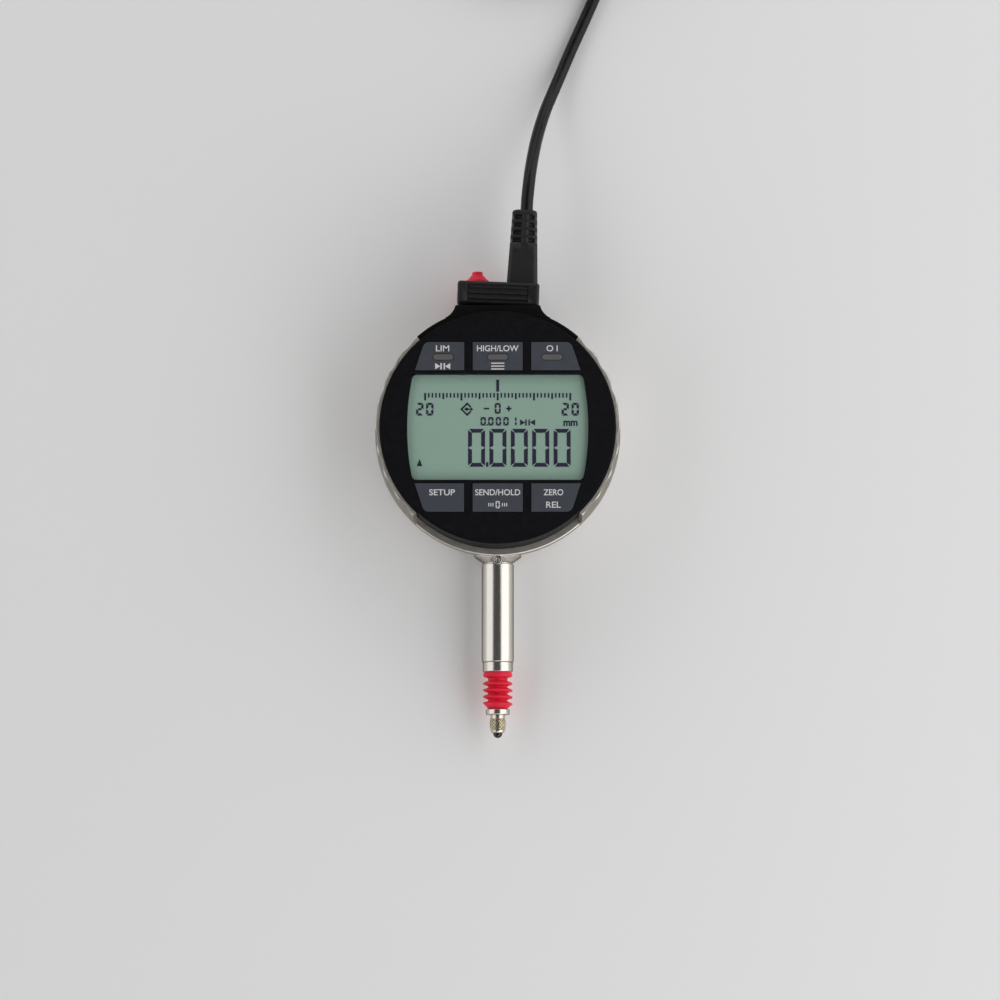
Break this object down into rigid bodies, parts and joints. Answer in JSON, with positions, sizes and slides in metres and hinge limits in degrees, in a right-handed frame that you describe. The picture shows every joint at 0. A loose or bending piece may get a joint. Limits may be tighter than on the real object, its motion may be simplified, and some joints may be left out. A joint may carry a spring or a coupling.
{
  "type": "digital dial indicator",
  "caption": "Digital dial indicator with round turning display, key pads, side grips, clamping stem, rubber bellows, sprung spindle and a data cable.",
  "frame": {"origin": "centre of the round housing on its flat back face", "axes": "+Z out of the display, +X to the display's right, +Y towards the data plug, spindle along -Y"},
  "size_m": [0.0647, 0.2509, 0.0261],
  "materials": {
    "satin_metal": "satin nickel, fine blasted",
    "black_plastic": "fine matt moulded",
    "black_rubber": "matt",
    "cable_black": "semi gloss sheath",
    "ground_steel": "ground, bright",
    "steel_screw": "bright",
    "dark_steel": "dark",
    "brass": "turned",
    "red_rubber": "silky moulded rubber",
    "aluminium": "milled",
    "copper": "enamelled wire",
    "board_green": "solder mask",
    "white_plastic": "matt",
    "face_black": "satin printed foil",
    "window_clear": "clear",
    "lcd": "grey green liquid crystal",
    "key_grey": "matt slate grey",
    "light_grey": "smoked diffuser",
    "ferrite": "sintered",
    "point_steel": "knurled, gold toned nickel",
    "carbide": "polished carbide"
  },
  "bodies": {
    "housing_body": {"housing": "satin_metal", "top_housing": "black_plastic", "back_cover": "black_plastic", "cover_gasket": "black_rubber", "cover_screws": "steel_screw", "cover_posts": "brass", "base_plate": "aluminium", "inner_screws": "steel_screw", "battery_cap": "black_plastic", "battery": "steel_screw", "battery_holder": "white_plastic", "sensor_board": "board_green", "stem": "ground_steel", "collar_screw": "dark_steel", "lower_bush": "brass", "upper_bush": "brass", "stem_end_ring": "ground_steel", "mechanism_frame": "aluminium", "transducer_sleeve": "ground_steel", "coil_former": "white_plastic", "coil_windings": "copper", "return_spring": "steel_screw", "bellows": "red_rubber", "display_seal": "black_rubber", "glide_washer": "white_plastic", "data_socket": "black_plastic", "lift_port_plug": "red_rubber", "data_plug": "black_plastic", "strain_relief": "black_plastic", "cable": "cable_black", "cable_coil": "cable_black", "cable_end": "cable_black", "usb_relief": "black_plastic", "usb_grip": "black_plastic", "usb_shell": "steel_screw", "usb_insert": "white_plastic"},
    "spindle_body": {"spindle": "ground_steel", "guide_pin": "dark_steel", "transducer_core": "ferrite", "bellows_ring": "ground_steel", "contact_point": "point_steel", "contact_ball": "carbide"},
    "display_unit": {"bezel": "black_plastic", "face_plate": "face_black", "display_window": "window_clear", "lcd_panel": "lcd", "lcd_frame": "black_plastic", "contact_strips": "white_plastic", "display_board": "board_green", "switch_domes": "steel_screw", "status_lights": "light_grey", "display_retainer": "aluminium", "display_screws": "steel_screw"},
    "key_limits_body": {"key_limits": "key_grey"},
    "key_high_low_body": {"key_high_low": "key_grey"},
    "key_power_body": {"key_power": "key_grey"},
    "key_set_body": {"key_set": "key_grey"},
    "key_hold_body": {"key_hold": "key_grey"},
    "key_zero_body": {"key_zero": "key_grey"}
  },
  "joints": [
    {"name": "spindle_slide", "type": "slide", "parent": "housing_body", "child": "spindle_body", "axis": [0, 1, 0], "range_m": [0, 0.003], "stiffness_N_per_m": 250, "springref_m": -0.003, "deforming": ["bellows", "return_spring"]},
    {"name": "display_turn", "type": "hinge", "parent": "housing_body", "child": "display_unit", "pos_m": [0, 0, 0.0165], "axis": [0, 0, 1], "range_deg": [-140, 140]},
    {"name": "press_limits", "type": "slide", "parent": "display_unit", "child": "key_limits_body", "axis": [0, 0, -1], "range_m": [0, 0.0003], "stiffness_N_per_m": 1500, "springref_m": -0.0002},
    {"name": "press_high_low", "type": "slide", "parent": "display_unit", "child": "key_high_low_body", "axis": [0, 0, -1], "range_m": [0, 0.0003], "stiffness_N_per_m": 1500, "springref_m": -0.0002},
    {"name": "press_power", "type": "slide", "parent": "display_unit", "child": "key_power_body", "axis": [0, 0, -1], "range_m": [0, 0.0003], "stiffness_N_per_m": 1500, "springref_m": -0.0002},
    {"name": "press_set", "type": "slide", "parent": "display_unit", "child": "key_set_body", "axis": [0, 0, -1], "range_m": [0, 0.0003], "stiffness_N_per_m": 1500, "springref_m": -0.0002},
    {"name": "press_hold", "type": "slide", "parent": "display_unit", "child": "key_hold_body", "axis": [0, 0, -1], "range_m": [0, 0.0003], "stiffness_N_per_m": 1500, "springref_m": -0.0002},
    {"name": "press_zero", "type": "slide", "parent": "display_unit", "child": "key_zero_body", "axis": [0, 0, -1], "range_m": [0, 0.0003], "stiffness_N_per_m": 1500, "springref_m": -0.0002}
  ]
}
